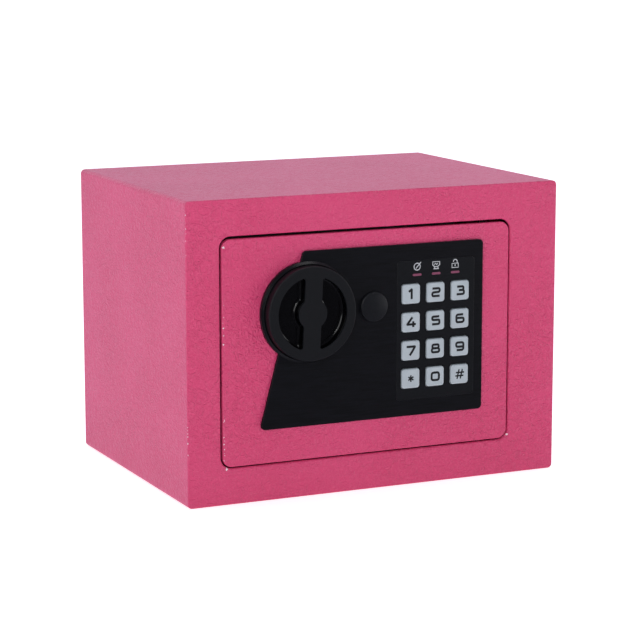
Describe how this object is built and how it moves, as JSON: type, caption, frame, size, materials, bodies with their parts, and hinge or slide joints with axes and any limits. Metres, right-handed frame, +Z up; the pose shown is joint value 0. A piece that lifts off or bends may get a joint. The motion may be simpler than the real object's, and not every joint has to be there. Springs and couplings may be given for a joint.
{
  "type": "mini electronic safe money box",
  "caption": "Small sheet-steel safe with a flush hinged door, keypad, turning knob, sliding lock bolts and an emergency key lock; holds coins and notes.",
  "frame": {"origin": "centre of the bounding box in plan, on the surface that the safe stands on", "axes": "+X to the right of someone facing the door, +Y into the cabinet, +Z up"},
  "size_m": [0.23, 0.1784, 0.17],
  "materials": {
    "pink_powder_coat": "wrinkled satin powder coat",
    "bare_steel": "plain zinc-plated steel",
    "black_steel": "thin black paint on steel",
    "bolt_steel": "bright plated steel",
    "spring_steel": "spring wire",
    "brass": "turned brass",
    "panel_black": "fine satin moulding",
    "bezel_black": "fine satin moulding",
    "knob_grey": "matte rim, glossy recesses",
    "cap_black": "semi-gloss moulding",
    "key_grey": "light cool grey, printed legends",
    "lens_red": "translucent red",
    "silicone": "translucent silicone",
    "circuit_board": "green solder mask",
    "coil_winding": "enamelled copper",
    "nylon": "natural nylon",
    "black_plastic": "plain moulding",
    "cell_jacket": "printed film jacket",
    "felt": "needle felt",
    "ribbon": "grey ribbon cable",
    "lead_red": "PVC insulation",
    "button_red": "plain moulding"
  },
  "bodies": {
    "cabinet": {"outer_shell": "pink_powder_coat", "front_frame": "pink_powder_coat", "back_panel": "pink_powder_coat", "door_stop": "black_steel", "hinge_brackets": "black_steel", "floor_mat": "felt"},
    "door": {"door_plate": "pink_powder_coat", "hinge_leaf": "black_steel", "hinge_pins": "black_steel", "control_panel": "panel_black", "panel_screws": "bare_steel", "carriage_studs": "bare_steel", "bolt_guide": "bare_steel", "solenoid_frame": "bare_steel", "solenoid_coil": "coil_winding", "plunger_spring": "spring_steel", "override_barrel": "brass", "override_nut": "brass", "keypad_bezel": "bezel_black", "indicator_lenses": "lens_red", "keypad_membrane": "silicone", "keypad_board": "circuit_board", "keypad_board_screws": "bare_steel", "keypad_ribbon": "ribbon", "main_board": "circuit_board", "board_pillars": "nylon", "cover_posts": "bare_steel", "inner_cover": "pink_powder_coat", "cover_screws": "bare_steel", "battery_tray": "black_plastic", "batteries": "cell_jacket", "battery_contacts": "spring_steel", "wire_leads": "lead_red"},
    "knob": {"lock_knob": "knob_grey", "knob_spindle": "bare_steel", "spindle_clip": "spring_steel", "knob_cam": "bare_steel"},
    "bolt_work": {"bolt_carriage": "bare_steel", "lock_bolts": "bolt_steel", "bolt_rivets": "bare_steel"},
    "plunger": {"solenoid_plunger": "bolt_steel"},
    "key_lock": {"override_plug": "brass", "override_cam": "bare_steel", "override_cam_screw": "bare_steel"},
    "key_lock_cap": {"override_cap": "cap_black"},
    "battery_lid": {"battery_cover": "black_plastic"},
    "reset": {"reset_button": "button_red"},
    "button_1": {"key_1": "key_grey"},
    "button_2": {"key_2": "key_grey"},
    "button_3": {"key_3": "key_grey"},
    "button_4": {"key_4": "key_grey"},
    "button_5": {"key_5": "key_grey"},
    "button_6": {"key_6": "key_grey"},
    "button_7": {"key_7": "key_grey"},
    "button_8": {"key_8": "key_grey"},
    "button_9": {"key_9": "key_grey"},
    "button_star": {"key_star": "key_grey"},
    "button_0": {"key_0": "key_grey"},
    "button_hash": {"key_hash": "key_grey"}
  },
  "joints": [
    {"name": "door_hinge", "type": "hinge", "parent": "cabinet", "child": "door", "pos_m": [0.0688, -0.07475, 0.085], "axis": [0, 0, 1], "range_deg": [0, 110]},
    {"name": "knob_turn", "type": "hinge", "parent": "door", "child": "knob", "pos_m": [-0.0435, -0.08075, 0.1049], "axis": [0, -1, 0], "range_deg": [0, 60]},
    {"name": "bolt_throw", "type": "slide", "parent": "door", "child": "bolt_work", "axis": [-1, 0, 0], "range_m": [0, 0.01201]},
    {"name": "plunger_slide", "type": "slide", "parent": "door", "child": "plunger", "axis": [0, 0, 1], "range_m": [-0.0045, 0], "stiffness_N_per_m": 60, "springref_m": -0.008, "deforming": ["plunger_spring"]},
    {"name": "key_lock_turn", "type": "hinge", "parent": "door", "child": "key_lock", "pos_m": [-0.0032, -0.08075, 0.1051], "axis": [0, 1, 0], "range_deg": [0, 90]},
    {"name": "cap_pull", "type": "slide", "parent": "door", "child": "key_lock_cap", "axis": [0, -1, 0], "range_m": [0, 0.02]},
    {"name": "battery_lid_lift", "type": "slide", "parent": "door", "child": "battery_lid", "axis": [0, 1, 0], "range_m": [0, 0.02]},
    {"name": "reset_press", "type": "slide", "parent": "door", "child": "reset", "axis": [0, -1, 0], "range_m": [0, 0.001], "stiffness_N_per_m": 400, "springref_m": -0.001},
    {"name": "key_1_press", "type": "slide", "parent": "door", "child": "button_1", "axis": [0, 1, 0], "range_m": [0, 0.0009], "stiffness_N_per_m": 600, "springref_m": -0.001},
    {"name": "key_2_press", "type": "slide", "parent": "door", "child": "button_2", "axis": [0, 1, 0], "range_m": [0, 0.0009], "stiffness_N_per_m": 600, "springref_m": -0.001},
    {"name": "key_3_press", "type": "slide", "parent": "door", "child": "button_3", "axis": [0, 1, 0], "range_m": [0, 0.0009], "stiffness_N_per_m": 600, "springref_m": -0.001},
    {"name": "key_4_press", "type": "slide", "parent": "door", "child": "button_4", "axis": [0, 1, 0], "range_m": [0, 0.0009], "stiffness_N_per_m": 600, "springref_m": -0.001},
    {"name": "key_5_press", "type": "slide", "parent": "door", "child": "button_5", "axis": [0, 1, 0], "range_m": [0, 0.0009], "stiffness_N_per_m": 600, "springref_m": -0.001},
    {"name": "key_6_press", "type": "slide", "parent": "door", "child": "button_6", "axis": [0, 1, 0], "range_m": [0, 0.0009], "stiffness_N_per_m": 600, "springref_m": -0.001},
    {"name": "key_7_press", "type": "slide", "parent": "door", "child": "button_7", "axis": [0, 1, 0], "range_m": [0, 0.0009], "stiffness_N_per_m": 600, "springref_m": -0.001},
    {"name": "key_8_press", "type": "slide", "parent": "door", "child": "button_8", "axis": [0, 1, 0], "range_m": [0, 0.0009], "stiffness_N_per_m": 600, "springref_m": -0.001},
    {"name": "key_9_press", "type": "slide", "parent": "door", "child": "button_9", "axis": [0, 1, 0], "range_m": [0, 0.0009], "stiffness_N_per_m": 600, "springref_m": -0.001},
    {"name": "key_star_press", "type": "slide", "parent": "door", "child": "button_star", "axis": [0, 1, 0], "range_m": [0, 0.0009], "stiffness_N_per_m": 600, "springref_m": -0.001},
    {"name": "key_0_press", "type": "slide", "parent": "door", "child": "button_0", "axis": [0, 1, 0], "range_m": [0, 0.0009], "stiffness_N_per_m": 600, "springref_m": -0.001},
    {"name": "key_hash_press", "type": "slide", "parent": "door", "child": "button_hash", "axis": [0, 1, 0], "range_m": [0, 0.0009], "stiffness_N_per_m": 600, "springref_m": -0.001}
  ],
  "couplings": [
    {"joint": "bolt_throw", "follows": "knob_turn", "m_per_rad": 0.011459}
  ]
}
